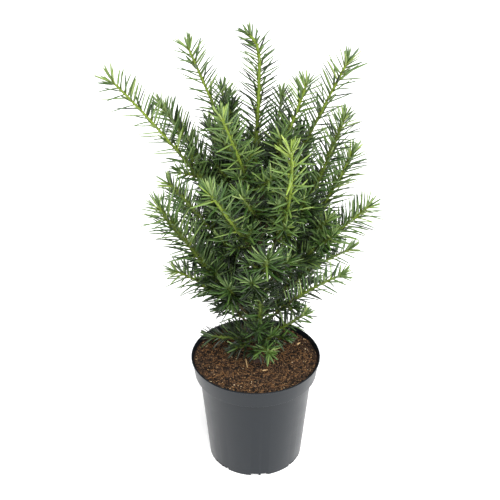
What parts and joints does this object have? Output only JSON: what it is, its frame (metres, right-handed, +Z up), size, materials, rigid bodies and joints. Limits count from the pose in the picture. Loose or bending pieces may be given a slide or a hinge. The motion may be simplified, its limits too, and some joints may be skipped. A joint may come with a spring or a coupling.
{
  "type": "potted english yew",
  "caption": "Young English yew shrub with a straight leader and upswept needled shoots, standing in a round tapered plastic nursery pot of soil.",
  "frame": {"origin": "centre of the pot's flat underside, on the ground", "axes": "+Z up along the pot's axis and the leader, -Y to the plant's front, +X to its right seen from the front"},
  "size_m": [0.3392, 0.2822, 0.6216],
  "materials": {
    "pot_plastic": "satin slate grey moulded plastic",
    "potting_soil": "loose coarse peat and bark",
    "trunk_bark": "thin flaking brown bark",
    "bough_bark": "smooth olive green to brown young bark",
    "deep_foliage": "dark green, slightly glossy needles",
    "bright_foliage": "light green, slightly glossy young needles"
  },
  "bodies": {
    "root": {"pot": "pot_plastic", "soil": "potting_soil", "trunk": "trunk_bark", "bough_left_long": "bough_bark", "bough_left_second": "bough_bark", "bough_left_tall": "bough_bark", "bough_left_middle": "bough_bark", "bough_left_wide": "bough_bark", "bough_left_low": "bough_bark", "bough_right_tall": "bough_bark", "bough_right_long": "bough_bark", "bough_right_high": "bough_bark", "bough_right_middle": "bough_bark", "bough_right_wide": "bough_bark", "bough_right_low": "bough_bark", "bough_right_lower": "bough_bark", "bough_front_tall": "bough_bark", "bough_front_right": "bough_bark", "bough_front_left": "bough_bark", "bough_front_high": "bough_bark", "bough_front_middle": "bough_bark", "bough_front_low": "bough_bark", "bough_back_left_tall": "bough_bark", "bough_back_right_tall": "bough_bark", "bough_back_left_middle": "bough_bark", "bough_back_right_middle": "bough_bark", "bough_back_middle": "bough_bark", "needles_leader": "bright_foliage", "needles_left_long": "deep_foliage", "needles_left_second": "deep_foliage", "needles_left_tall": "deep_foliage", "needles_left_middle": "deep_foliage", "needles_left_wide": "deep_foliage", "needles_left_low": "deep_foliage", "needles_right_tall": "bright_foliage", "needles_right_long": "deep_foliage", "needles_right_high": "deep_foliage", "needles_right_middle": "deep_foliage", "needles_right_wide": "deep_foliage", "needles_right_low": "deep_foliage", "needles_right_lower": "deep_foliage", "needles_front_tall": "bright_foliage", "needles_front_right": "bright_foliage", "needles_front_left": "bright_foliage", "needles_front_high": "deep_foliage", "needles_front_middle": "deep_foliage", "needles_front_low": "deep_foliage", "needles_back_left_tall": "deep_foliage", "needles_back_right_tall": "deep_foliage", "needles_back_left_middle": "deep_foliage", "needles_back_right_middle": "deep_foliage", "needles_back_left_low": "deep_foliage", "needles_back_middle": "deep_foliage", "needles_back_high": "deep_foliage", "needles_back_right_low": "deep_foliage", "needles_back_low": "deep_foliage", "needles_front_foot": "deep_foliage", "needles_right_foot": "deep_foliage", "needles_left_foot": "deep_foliage", "needles_front_drooping": "deep_foliage"}
  },
  "joints": []
}
